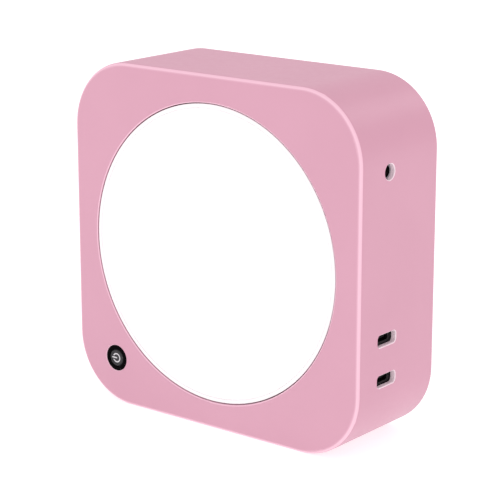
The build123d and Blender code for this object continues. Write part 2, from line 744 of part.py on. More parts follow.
def make_fan_housing():
    """Scroll housing with its outlet duct, which ends at the slots in the left wall."""
    with BuildPart() as fan_housing:
        extrude(discs(GUARD_BACK, SEAT_R, [(0, AXIS_Z)]), amount=-FLANGE_T)
        extrude(ears(GUARD_BACK), amount=-FLANGE_T)
        extrude(
            scroll_outline(GUARD_BACK, HOUSING_T), amount=-(HOUSING_BACK - GUARD_BACK)
        )
        extrude(
            scroll_outline(FLANGE_BACK, 0),
            amount=-(CHAMBER_BACK - FLANGE_BACK),
            mode=Mode.SUBTRACT,
        )
        extrude(discs(GUARD_BACK, FUNNEL_R + GAP, [(0, AXIS_Z)]), amount=-FLANGE_T,
                mode=Mode.SUBTRACT)
        extrude(discs(CHAMBER_BACK, BASE_STEP_R + GAP, [(0, AXIS_Z)]), amount=-HOUSING_T,
                mode=Mode.SUBTRACT)
        extrude(discs(CHAMBER_BACK, MOTOR_SCREW_R + THREAD_GAP, MOTOR_SCREWS), amount=-HOUSING_T,
                mode=Mode.SUBTRACT)
        extrude(discs(GUARD_BACK, HOUSING_SCREW_R + HOLE_GAP, HOUSING_BOSSES), amount=-FLANGE_T,
                mode=Mode.SUBTRACT)
        extrude(discs(HOUSING_BACK, CONTROL_BOSS_R, CONTROL_POSTS), amount=-CONTROL_STANDOFF)
        extrude(discs(CONTROL_FRONT - CONTROL_SCREW_GRIP, BOARD_SCREW_R + THREAD_GAP, CONTROL_POSTS),
                amount=-CONTROL_SCREW_GRIP, mode=Mode.SUBTRACT)
    save(fan_housing, "fan_housing")


def make_impeller():
    """Backward-curved centrifugal wheel: hub, back disc and blades, with a welded front ring."""
    centre = [(0, AXIS_Z)]
    lean = math.radians(BLADE_LEAN)
    inner = (BLADE_INNER * SHROUD_EYE_R, 0)
    tip_r = IMPELLER_R - BLADE_T
    outer = (tip_r * math.cos(lean), -tip_r * math.sin(lean))
    chord = Vector(*outer) - Vector(*inner)
    bulge = chord.normalized().rotate(Axis.Z, 90) * BLADE_BULGE
    middle = Vector(*inner) + chord / 2 + bulge
    with BuildPart() as impeller:
        with BuildSketch(facing(SHROUD_BACK)):
            with Locations(*centre):
                with PolarLocations(0, BLADE_COUNT):
                    add(blade_outline(inner, middle, outer))
        extrude(amount=-(DISC_FRONT - SHROUD_BACK + DISC_T / 2))
        extrude(discs(DISC_FRONT, IMPELLER_R, centre), amount=-DISC_T)
        extrude(discs(HUB_FRONT, HUB_R, centre), amount=-(DISC_BACK - HUB_FRONT))
        hub_edge = (
            impeller.edges()
            .filter_by(GeomType.CIRCLE)
            .filter_by(lambda edge: abs(edge.radius - HUB_R) < 0.01)
            .sort_by(Axis.Y)[0]
        )
        fillet(hub_edge, HUB_FILLET)
        extrude(discs(CAN_FRONT, CAN_R, centre), amount=-(DISC_BACK - CAN_FRONT),
                mode=Mode.SUBTRACT)
    save(impeller, "impeller")
    with BuildPart() as impeller_shroud:
        extrude(rings(SHROUD_FRONT, SHROUD_EYE_R, IMPELLER_R, centre), amount=-SHROUD_T)
    save(impeller_shroud, "impeller_shroud")


def blade_outline(inner, middle, outer):
    """One blade as an arc of constant thickness with round ends."""
    with BuildSketch(Plane.XY) as blade:
        with BuildLine() as spine:
            ThreePointArc(inner, middle, outer)
        trace(spine.line, BLADE_T)
    return blade.sketch


def make_motor():
    """Outer-rotor motor: base, bearings, wound stator, board, can, magnets and shaft."""
    centre = [(0, AXIS_Z)]
    tube_front = CAN_FRONT + CAN_BOSS_L + AIR_GAP
    base_back = HOUSING_BACK + BASE_T
    with BuildPart() as motor_base:
        extrude(discs(HOUSING_BACK, BASE_R, centre), amount=-BASE_T)
        extrude(discs(MOTOR_BOARD_BACK, BASE_STEP_R, centre),
                amount=-(HOUSING_BACK - MOTOR_BOARD_BACK))
        extrude(discs(tube_front, TUBE_R, centre), amount=-(HOUSING_BACK - tube_front))
        extrude(discs(tube_front, BEARING_R, centre), amount=-(base_back - tube_front),
                mode=Mode.SUBTRACT)
        extrude(discs(MOTOR_BOARD_BACK, LEAD_HOLE_R, [MOTOR_LEAD_HOLE]),
                amount=-(base_back - MOTOR_BOARD_BACK), mode=Mode.SUBTRACT)
        extrude(discs(HOUSING_BACK, MOTOR_SCREW_R + HOLE_GAP, MOTOR_SCREWS), amount=-BASE_T,
                mode=Mode.SUBTRACT)
    save(motor_base, "motor_base")
    with BuildPart() as motor_screws:
        extrude(discs(base_back, MOTOR_HEAD_R, MOTOR_SCREWS), amount=-MOTOR_HEAD_T)
        extrude(discs(CHAMBER_BACK, MOTOR_SCREW_R, MOTOR_SCREWS), amount=-(base_back - CHAMBER_BACK))
    save(motor_screws, "motor_screws")
    for name, depth in (
        ("bearing_front", tube_front),
        ("bearing_rear", base_back - BEARING_INSET - BEARING_W),
    ):
        with BuildPart() as bearing:
            extrude(rings(depth, SHAFT_R + SHAFT_GAP, BEARING_R, centre), amount=-BEARING_W)
        save(bearing, name)
    core_front = STATOR_FRONT + COIL_OVERHANG
    core_length = STATOR_BACK - STATOR_FRONT - 2 * COIL_OVERHANG
    tooth_centre = (STATOR_R + TUBE_R) / 2
    with BuildPart() as stator_core:
        with BuildSketch(facing(core_front)):
            with Locations(*centre):
                Circle(STATOR_R)
                Circle(STATOR_R - TOOTH_TIP_T, mode=Mode.SUBTRACT)
                Circle(TUBE_R + CORE_RING_T)
                with PolarLocations(tooth_centre, STATOR_TEETH):
                    Rectangle(STATOR_R - TUBE_R, TOOTH_W)
                Circle(TUBE_R, mode=Mode.SUBTRACT)
                with PolarLocations(STATOR_R, STATOR_TEETH, start_angle=180 / STATOR_TEETH):
                    Rectangle(3 * TOOTH_TIP_T, TOOTH_SLOT_W, mode=Mode.SUBTRACT)
        extrude(amount=-core_length)
    save(stator_core, "stator_core")
    coil_inner = TUBE_R + CORE_RING_T + COIL_GAP
    coil_outer = STATOR_R - TOOTH_TIP_T - COIL_GAP
    with BuildPart() as stator_coils:
        with BuildSketch(facing(STATOR_FRONT)):
            with Locations(*centre):
                with PolarLocations((coil_inner + coil_outer) / 2, STATOR_TEETH):
                    Rectangle(coil_outer - coil_inner, COIL_W)
        extrude(amount=-(STATOR_BACK - STATOR_FRONT))
        with BuildSketch(facing(core_front)):
            with Locations(*centre):
                with PolarLocations(tooth_centre, STATOR_TEETH):
                    Rectangle(STATOR_R - TUBE_R, TOOTH_W)
        extrude(amount=-core_length, mode=Mode.SUBTRACT)
    save(stator_coils, "stator_coils")
    with BuildPart() as motor_board:
        board_ring = (TUBE_R + AIR_GAP, BASE_STEP_R - AIR_GAP)
        extrude(rings(MOTOR_BOARD_BACK - MOTOR_BOARD_T, *board_ring, centre), amount=-MOTOR_BOARD_T)
    save(motor_board, "motor_board")
    with BuildPart() as rotor_can:
        extrude(discs(CAN_FRONT, CAN_R, centre), amount=-(CAN_BACK - CAN_FRONT))
        extrude(discs(CAN_FRONT + CAN_FLOOR_T, CAN_R - CAN_T, centre),
                amount=-(CAN_BACK - CAN_FRONT - CAN_FLOOR_T), mode=Mode.SUBTRACT)
        extrude(discs(CAN_FRONT, CAN_BOSS_R, centre), amount=-CAN_BOSS_L)
        extrude(discs(CAN_FRONT, SHAFT_R, centre), amount=-CAN_BOSS_L, mode=Mode.SUBTRACT)
    save(rotor_can, "rotor_can")
    magnet_front = CAN_FRONT + 2 * CAN_FLOOR_T
    with BuildPart() as rotor_magnet:
        extrude(rings(magnet_front, CAN_R - CAN_T - MAGNET_RING_T, CAN_R - CAN_T, centre),
                amount=-(CAN_BACK - magnet_front - AIR_GAP))
    save(rotor_magnet, "rotor_magnet")
    shaft_end = base_back - CLIP_T / 2
    clip_front = shaft_end - 2 * CLIP_T
    groove_r = SHAFT_R - CLIP_BITE
    clip_r = SHAFT_R + CLIP_RIM
    with BuildPart() as motor_shaft:
        extrude(discs(CAN_FRONT, SHAFT_R, centre), amount=-(shaft_end - CAN_FRONT))
        extrude(rings(clip_front, groove_r, clip_r, centre), amount=-CLIP_T, mode=Mode.SUBTRACT)
    save(motor_shaft, "motor_shaft")
    with BuildPart() as shaft_clip:
        extrude(rings(clip_front, groove_r, clip_r, centre), amount=-CLIP_T)
        with BuildSketch(facing(clip_front)):
            with Locations((0, AXIS_Z - clip_r)):
                Rectangle(CLIP_MOUTH, 2 * clip_r)
        extrude(amount=-CLIP_T, mode=Mode.SUBTRACT)
    save(shaft_clip, "shaft_clip")


def make_button():
    """Panel push-button: housing, gasket, nut, cap with its mark, spring and contacts."""
    centre = [(BUTTON_X, BUTTON_HEIGHT)]
    flange_front = SHOULDER + SHOULDER_GAP
    flange_back = flange_front + CAP_FLANGE_T
    terminals = [(BUTTON_X - TERMINAL_X, BUTTON_HEIGHT), (BUTTON_X + TERMINAL_X, BUTTON_HEIGHT)]
    with BuildPart() as button_housing:
        with BuildSketch(BUTTON_SECTION):
            with BuildLine():
                Polyline(
                    (CAP_R + CAP_GAP, 0),
                    (BEZEL_R, 0),
                    (BEZEL_R, BEZEL_T),
                    (BARREL_R, BEZEL_T),
                    (BARREL_R, BARREL_END),
                    (BASE_PLUG_R, BARREL_END),
                    (BASE_PLUG_R, SHOULDER),
                    (CAP_R + CAP_GAP, SHOULDER),
                    close=True,
                )
            make_face()
        revolve(axis=BUTTON_AXIS)
        fillet(button_housing.edges().group_by(Axis.Y)[0], BEZEL_FILLET)
    save(button_housing, "button_housing")
    with BuildPart() as button_gasket:
        extrude(rings(BEZEL_T, BARREL_R + BARREL_GAP, BEZEL_R, centre), amount=-BEZEL_GASKET_T)
    save(button_gasket, "button_gasket")
    with BuildPart() as button_nut:
        with BuildSketch(facing(WALL)):
            with Locations(*centre):
                RegularPolygon(NUT_R, 6, major_radius=False)
                Circle(BARREL_R + THREAD_GAP, mode=Mode.SUBTRACT)
        extrude(amount=-NUT_T)
    save(button_nut, "button_nut")
    # The mark is a broken ring with a bar through its gap, turned a quarter turn to the left.
    gap_w = 2 * (MARK_R - MARK_STROKE)
    with BuildPart() as button_icon:
        with BuildSketch(facing(CAP_FRONT)):
            with Locations(*centre):
                Circle(MARK_R)
                Circle(MARK_R - MARK_STROKE, mode=Mode.SUBTRACT)
            with Locations((BUTTON_X - MARK_R, BUTTON_HEIGHT)):
                Rectangle(gap_w, 3 * MARK_STROKE, mode=Mode.SUBTRACT)
            with Locations((BUTTON_X - MARK_R + MARK_BAR / 3, BUTTON_HEIGHT)):
                Rectangle(MARK_BAR, MARK_STROKE)
        extrude(amount=-MARK_DEPTH)
    save(button_icon, "button_icon")
    with BuildPart() as button_cap:
        with BuildSketch(BUTTON_SECTION):
            with BuildLine():
                Polyline(
                    (0, CAP_FRONT),
                    (CAP_R - CAP_CHAMFER, CAP_FRONT),
                    (CAP_R, CAP_FRONT + CAP_CHAMFER),
                    (CAP_R, flange_front),
                    (CAP_R + CAP_FLANGE_W, flange_front),
                    (CAP_R + CAP_FLANGE_W, flange_back),
                    (STEM_R, flange_back),
                    (STEM_R, STEM_END),
                    (0, STEM_END),
                    close=True,
                )
            make_face()
        revolve(axis=BUTTON_AXIS)
        add(button_icon.part, mode=Mode.SUBTRACT)
    save(button_cap, "button_cap")
    with BuildPart() as contact_bridge:
        extrude(discs(STEM_END, BRIDGE_R, centre), amount=-BRIDGE_T)
    save(contact_bridge, "contact_bridge")
    with BuildPart() as button_spring:
        spring_front = flange_back + SPRING_GAP
        spring_length = BASE_PLUG_FRONT - SPRING_GAP - spring_front
        with BuildLine() as coil:
            Helix(
                spring_length / SPRING_TURNS,
                spring_length,
                SPRING_R,
                center=at_depth(BUTTON_X, spring_front, BUTTON_HEIGHT),
                direction=(0, 1, 0),
            )
        with BuildSketch(Plane(origin=coil.line @ 0, z_dir=coil.line % 0)):
            Circle(SPRING_WIRE_R)
        sweep(is_frenet=True)
    save(button_spring, "button_spring")
    with BuildPart() as button_base:
        extrude(discs(BASE_PLUG_FRONT, BASE_PLUG_R, centre),
                amount=-(BARREL_END - BASE_PLUG_FRONT))
        with BuildSketch(facing(BASE_PLUG_FRONT)):
            with Locations(*terminals):
                Rectangle(TERMINAL_W, TERMINAL_H)
        extrude(amount=-(BARREL_END - BASE_PLUG_FRONT), mode=Mode.SUBTRACT)
    save(button_base, "button_base")
    contact_front = STEM_END + BRIDGE_T + PRESS + CONTACT_GAP
    with BuildPart() as button_terminals:
        with BuildSketch(facing(contact_front)):
            with Locations(*terminals):
                Rectangle(TERMINAL_W, TERMINAL_H)
        extrude(amount=-(TERMINAL_END - contact_front))
    save(button_terminals, "button_terminals")


def make_usb_ports():
    """Small board behind the right wall with two USB-C sockets facing the cut-outs."""
    socket_length = USB_FACE_X - USB_BOARD_X
    inner_w = USB_SHELL_W - 2 * USB_SHELL_T
    inner_h = USB_SHELL_H - 2 * USB_SHELL_T
    with BuildPart() as port_board:
        with BuildSketch(sideways(USB_BOARD_X - BOARD_T)):
            with Locations((PORT_DEPTH, PORT_BOARD_Z)):
                Rectangle(PORT_BOARD_W, PORT_BOARD_H)
            with Locations(*PORT_POSTS):
                Circle(BOARD_HOLE_R, mode=Mode.SUBTRACT)
        extrude(amount=BOARD_T)
    save(port_board, "port_board")
    with BuildPart() as usb_bodies:
        with BuildSketch(sideways(USB_BOARD_X)):
            with Locations(*USB_PORTS):
                RectangleRounded(
                    USB_CUT_W - 2 * USB_GAP, USB_CUT_H - 2 * USB_GAP, USB_CUT_R - USB_GAP
                )
                SlotOverall(USB_SHELL_W, USB_SHELL_H, mode=Mode.SUBTRACT)
        extrude(amount=socket_length)
    save(usb_bodies, "usb_bodies")
    with BuildPart() as usb_shells:
        with BuildSketch(sideways(USB_BOARD_X)):
            with Locations(*USB_PORTS):
                SlotOverall(USB_SHELL_W, USB_SHELL_H)
                SlotOverall(inner_w, inner_h, mode=Mode.SUBTRACT)
        extrude(amount=socket_length)
    save(usb_shells, "usb_shells")
    with BuildPart() as usb_tongues:
        with BuildSketch(sideways(USB_BOARD_X)):
            with Locations(*USB_PORTS):
                SlotOverall(inner_w, inner_h)
        extrude(amount=USB_PLUG_T)
        with BuildSketch(sideways(USB_BOARD_X)):
            with Locations(*USB_PORTS):
                Rectangle(USB_TONGUE_W, USB_TONGUE_T)
        extrude(amount=socket_length - USB_TONGUE_SETBACK)
    save(usb_tongues, "usb_tongues")


def make_power_jack():
    """Barrel jack behind the small round hole, on its own board."""
    bore_floor = JACK_FRONT_X - JACK_BORE_L
    nose_front = WIDTH / 2 - JACK_NOSE_SINK
    pin_back = JACK_BACK_X + JACK_PIN_INSET
    with BuildPart() as jack_body:
        with BuildSketch(sideways(JACK_BACK_X)):
            with Locations((JACK_BOARD_FRONT - JACK_BODY_W / 2, JACK_Z)):
                Rectangle(JACK_BODY_W, JACK_BODY_H)
        extrude(amount=JACK_BODY_L)
        with BuildSketch(sideways(JACK_FRONT_X)):
            with Locations((PORT_DEPTH, JACK_Z)):
                Circle(JACK_NOSE_R)
        extrude(amount=nose_front - JACK_FRONT_X)
        with BuildSketch(sideways(bore_floor)):
            with Locations((PORT_DEPTH, JACK_Z)):
                Circle(JACK_BORE_R)
        extrude(amount=nose_front - bore_floor, mode=Mode.SUBTRACT)
        with BuildSketch(sideways(pin_back)):
            with Locations((PORT_DEPTH, JACK_Z)):
                Circle(JACK_ROOT_R)
        extrude(amount=bore_floor - pin_back, mode=Mode.SUBTRACT)
    save(jack_body, "jack_body")
    with BuildPart() as jack_pin:
        with BuildSketch(sideways(pin_back)):
            with Locations((PORT_DEPTH, JACK_Z)):
                Circle(JACK_PIN_R)
        extrude(amount=JACK_FRONT_X - JACK_PIN_SINK - pin_back)
        chamfer(jack_pin.edges().group_by(Axis.X)[-1], JACK_PIN_CHAMFER)
        with BuildSketch(sideways(pin_back)):
            with Locations((PORT_DEPTH, JACK_Z)):
                Circle(JACK_ROOT_R)
        extrude(amount=bore_floor + JACK_ROOT_PROUD - pin_back)
    save(jack_pin, "jack_pin")
    with BuildPart() as jack_board:
        with BuildSketch(facing(JACK_BOARD_FRONT)):
            with Locations((RIGHT_WALL_X - JACK_BOARD_GAP - JACK_BOARD_W / 2, JACK_Z)):
                Rectangle(JACK_BOARD_W, JACK_BOARD_H)
            with Locations(*JACK_BOSSES):
                Circle(BOARD_HOLE_R, mode=Mode.SUBTRACT)
        extrude(amount=-BOARD_T)
    save(jack_board, "jack_board")


def make_control_board():
    """Control board on the back of the fan housing, with its parts and lead sockets."""
    with BuildPart() as control_board:
        with BuildSketch(facing(CONTROL_FRONT)):
            with Locations((0, CONTROL_FLOOR + CONTROL_H / 2)):
                RectangleRounded(CONTROL_W, CONTROL_H, CONTROL_CORNER_R)
            with Locations(*CONTROL_POSTS):
                Circle(BOARD_HOLE_R, mode=Mode.SUBTRACT)
        extrude(amount=-BOARD_T)
    save(control_board, "control_board")
    with BuildPart() as power_choke:
        extrude(discs(CONTROL_BACK, CHOKE_R, CHOKES), amount=-CHOKE_H)
        extrude(rings(CONTROL_BACK + CHOKE_H / 4, CHOKE_CORE_R, CHOKE_R, CHOKES),
                amount=-CHOKE_H / 2, mode=Mode.SUBTRACT)
    save(power_choke, "power_choke")
    with BuildPart() as capacitors:
        extrude(discs(CONTROL_BACK, CAPACITOR_R, CAPACITORS), amount=-CAPACITOR_H)
        fillet(capacitors.edges().group_by(Axis.Y)[-1], CAPACITOR_FILLET)
    save(capacitors, "capacitors")
    with BuildPart() as control_chips:
        with BuildSketch(facing(CONTROL_BACK)):
            with Locations(*LARGE_CHIPS):
                Rectangle(*LARGE_CHIP)
            with Locations(*SMALL_CHIPS):
                Rectangle(*SMALL_CHIP)
        extrude(amount=-CHIP_T)
    save(control_chips, "control_chips")
    with BuildPart() as lead_sockets:
        with BuildSketch(facing(CONTROL_BACK)):
            for side, z in SIDE_SOCKETS:
                with Locations((side * (CONTROL_W / 2 - LEAD_SOCKET_L / 2), z)):
                    Rectangle(LEAD_SOCKET_L, LEAD_SOCKET_W)
            with Locations((0, CONTROL_FLOOR + CONTROL_H - TOP_SOCKET_DROP)):
                Rectangle(TOP_SOCKET_W, TOP_SOCKET_H)
        extrude(amount=-LEAD_SOCKET_T)
    save(lead_sockets, "lead_sockets")


def make_lead(name, route, lead_r):
    """Insulated lead along straight runs joined by arcs as large as the runs allow."""
    points = [Vector(*point) for point in route]
    runs = [after - before for before, after in zip(points, points[1:])]
    radii = [
        0.45 * min(first.length, second.length)
        / math.tan(math.radians(first.get_angle(second)) / 2)
        for first, second in zip(runs, runs[1:])
    ]
    with BuildPart() as lead:
        with BuildLine() as path:
            FilletPolyline(*route, radius=radii)
        with BuildSketch(Plane(origin=path.line @ 0, z_dir=path.line % 0)):
            Circle(lead_r)
        sweep()
    print(name, "arc radii", [round(radius, 1) for radius in radii])
    save(lead, name)


def make_leads():
    """Leads from the motor, the button, the power jack and the USB board."""
    level = CONTROL_BACK + LEAD_SOCKET_T / 2
    hole_x, hole_z = MOTOR_LEAD_HOLE
    side_x = CONTROL_W / 2
    jack_x = WIDTH / 2 - 14
    usb_x = USB_BOARD_X - BOARD_T
    make_lead(
        "motor_lead",
        [
            at_depth(hole_x, MOTOR_BOARD_BACK, hole_z),
            at_depth(hole_x, level, hole_z),
            at_depth(hole_x, level, CONTROL_FLOOR + CONTROL_H - 0.8),
        ],
        MOTOR_LEAD_R,
    )
    make_lead(
        "switch_lead",
        [
            at_depth(BUTTON_X, TERMINAL_END, BUTTON_HEIGHT),
            at_depth(BUTTON_X, level, BUTTON_HEIGHT),
            at_depth(-side_x - 11, level, SIDE_SOCKETS[0][1]),
            at_depth(-side_x, level, SIDE_SOCKETS[0][1]),
        ],
        LEAD_R,
    )
    make_lead(
        "power_lead",
        [
            at_depth(jack_x, JACK_BOARD_FRONT + BOARD_T, JACK_Z),
            at_depth(jack_x, level, JACK_Z),
            at_depth(jack_x, level, SIDE_SOCKETS[1][1] + 22),
            at_depth(side_x + 14, level, SIDE_SOCKETS[1][1]),
            at_depth(side_x, level, SIDE_SOCKETS[1][1]),
        ],
        LEAD_R,
    )
    make_lead(
        "usb_lead",
        [
            at_depth(usb_x, PORT_DEPTH + 5, PORT_BOARD_Z),
            at_depth(usb_x - 8, PORT_DEPTH + 5, PORT_BOARD_Z),
            at_depth(usb_x - 8, level, PORT_BOARD_Z),
            at_depth(side_x + 12, level, SIDE_SOCKETS[2][1]),
            at_depth(side_x, level, SIDE_SOCKETS[2][1]),
        ],
        LEAD_R,
    )


os.makedirs("parts", exist_ok=True)
make_front_shell()
make_back_cover()
make_fasteners()
make_rubber_feet()
make_rating_label()
make_filter()
make_inlet_guard()
make_fan_housing()
make_impeller()
make_motor()
make_button()
make_usb_ports()
make_power_jack()
make_control_board()
make_leads()
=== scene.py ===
import json
import math

import bmesh
import bpy
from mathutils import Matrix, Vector


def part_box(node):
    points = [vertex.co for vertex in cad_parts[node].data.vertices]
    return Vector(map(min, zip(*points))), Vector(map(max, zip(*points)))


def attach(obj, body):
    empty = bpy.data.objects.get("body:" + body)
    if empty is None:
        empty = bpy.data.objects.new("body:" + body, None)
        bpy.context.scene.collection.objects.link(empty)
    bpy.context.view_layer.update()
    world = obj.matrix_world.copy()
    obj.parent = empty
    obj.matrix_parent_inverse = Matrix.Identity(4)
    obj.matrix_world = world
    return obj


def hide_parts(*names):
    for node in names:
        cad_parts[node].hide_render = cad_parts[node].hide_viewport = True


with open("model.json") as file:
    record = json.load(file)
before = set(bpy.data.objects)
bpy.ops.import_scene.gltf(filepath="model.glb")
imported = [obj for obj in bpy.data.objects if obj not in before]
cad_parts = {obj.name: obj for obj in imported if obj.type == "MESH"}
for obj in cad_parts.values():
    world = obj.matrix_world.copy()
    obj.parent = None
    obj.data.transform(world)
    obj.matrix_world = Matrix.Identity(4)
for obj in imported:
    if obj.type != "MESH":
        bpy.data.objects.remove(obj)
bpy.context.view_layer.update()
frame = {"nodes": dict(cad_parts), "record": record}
NODES = frame["nodes"]
MM = 0.001
SHELL_LOW, SHELL_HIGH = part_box("front_shell")
FRONT_Y = SHELL_LOW.y
FACE_LOW, FACE_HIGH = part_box("filter_face")
MIDDLE = Vector((0, 0, (SHELL_LOW.z + SHELL_HIGH.z) / 2))
BUTTON_LOW, BUTTON_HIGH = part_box("button_cap")
BUTTON = (BUTTON_LOW + BUTTON_HIGH) / 2
USB_LOW, USB_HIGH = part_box("usb_bodies")
JACK_LOW, JACK_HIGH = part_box("jack_body")
PIN_LOW, PIN_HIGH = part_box("jack_pin")
PIN = (PIN_LOW + PIN_HIGH) / 2
JACK_BORE_R = 2.75 * MM
JACK_NOSE_R = 3.42 * MM
PORT_PITCH = 18 * MM
TONGUE_T = 0.7 * MM

# the part of the right wall that holds the sockets
SOCKET_X = USB_HIGH.x
SOCKET_FRONT = USB_LOW.y - 3 * MM
SOCKET_BACK = USB_HIGH.y + 3 * MM
SOCKET_LOW = USB_LOW.z - 2 * MM
SOCKET_TOP = JACK_HIGH.z

# noise patterns stay mostly between these two values
NOISE_LOW = 0.3
NOISE_HIGH = 0.7
# metres between the bands of a wave texture at scale 1
WAVE_LENGTH = 0.314

# where the camera stands, measured from the middle of the front face's lower edge, and where it looks
CAMERA_PLACE = Vector((0.5119, -0.6134, 0.2938))
CAMERA_FORWARD = Vector((-0.6033, 0.7555, -0.2556))
LENS_MM = 136.1
SENSOR_MM = 36.0
NEAREST = 0.05
FARTHEST = 20.0

WORLD_COLOUR = (1, 0.88, 0.92, 1)
WORLD_STRENGTH = 0.95
FLOOR_REACH = 6.0
FLOOR_COLOUR = (0.6, 0.6, 0.6, 1)
FLOOR_GLOW = 0.65


# ---------------------------------------------------------------- camera, light and floor
def make_camera():
    """Three-quarter view from the front right and a little above, with a long lens."""
    data = bpy.data.cameras.new("view_camera")
    data.lens = LENS_MM
    data.sensor_width = SENSOR_MM
    data.clip_start = NEAREST
    data.clip_end = FARTHEST
    camera = bpy.data.objects.new("view_camera", data)
    camera.location = Vector((0, FRONT_Y, 0)) + CAMERA_PLACE
    camera.rotation_mode = "QUATERNION"
    camera.rotation_quaternion = CAMERA_FORWARD.to_track_quat("-Z", "Y")
    bpy.context.scene.collection.objects.link(camera)
    bpy.context.scene.camera = camera


def area_light(name, place, size, power, tint=(1, 1, 1), target=MIDDLE):
    """Square soft box at a place, turned to a target; its power is in watts."""
    data = bpy.data.lights.new(name, "AREA")
    data.shape = "SQUARE"
    data.size = size
    data.energy = power
    data.color = tint
    light = bpy.data.objects.new(name, data)
    light.location = place
    light.rotation_mode = "QUATERNION"
    light.rotation_quaternion = (Vector(target) - Vector(place)).to_track_quat("-Z", "Y")
    bpy.context.scene.collection.objects.link(light)


def make_lights():
    """Large key from the front left, and five weaker boxes for the side, the edges and the top."""
    area_light("key_front", (-0.5, -2.2, 0.9), size=1.2, power=6.1, tint=(0.97, 1.0, 0.99))
    area_light("fill_right", (1.6, 0.3, 0.7), size=0.9, power=0.6, tint=(1.0, 0.32, 0.55))
    area_light("edge_low", (1.15, -1.15, 0.05), size=0.2, power=0.85)
    area_light("top_soft", (0.0, 0.1, 1.6), size=1.0, power=1.1)
    area_light("rim_back", (0.45, 1.3, 1.05), size=0.6, power=1.9)
    corner = (0.04, -0.03, 0.15)
    area_light("sheen_top", (0.5, -0.7, 0.55), size=0.3, power=0.16, tint=(0.35, 1.0, 0.8), target=corner)


def make_world():
    """Even pale pink surroundings."""
    world = bpy.data.worlds.new("studio_world")
    world.use_nodes = True
    background = world.node_tree.nodes["Background"]
    background.inputs["Color"].default_value = WORLD_COLOUR
    background.inputs["Strength"].default_value = WORLD_STRENGTH
    bpy.context.scene.world = world


def make_floor():
    """Wide plain floor that glows a little, so that it ends up white."""
    corners = [(-1, -1), (1, -1), (1, 1), (-1, 1)]
    mesh = bpy.data.meshes.new("floor")
    mesh.from_pydata([(x * FLOOR_REACH, y * FLOOR_REACH, 0) for x, y in corners], [], [(0, 1, 2, 3)])
    material = bpy.data.materials.new("floor_pale")
    material.use_nodes = True
    shader = material.node_tree.nodes["Principled BSDF"]
    shader.inputs["Base Color"].default_value = FLOOR_COLOUR
    shader.inputs["Roughness"].default_value = 0.9
    shader.inputs["Specular IOR Level"].default_value = 0.1
    shader.inputs["Emission Color"].default_value = (1, 1, 1, 1)
    shader.inputs["Emission Strength"].default_value = FLOOR_GLOW
    mesh.materials.append(material)
    floor = bpy.data.objects.new("floor", mesh)
    bpy.context.scene.collection.objects.link(floor)


# ---------------------------------------------------------------- materials
def linear(value):
    """One display channel, 0 to 255, as linear light by the sRGB curve."""
    share = value / 255
    return share / 12.92 if share <= 0.04045 else ((share + 0.055) / 1.055) ** 2.4


def colour(red, green, blue):
    """Display colour, 0 to 255 each, as a linear colour for a shader socket."""
    return (linear(red), linear(green), linear(blue), 1.0)


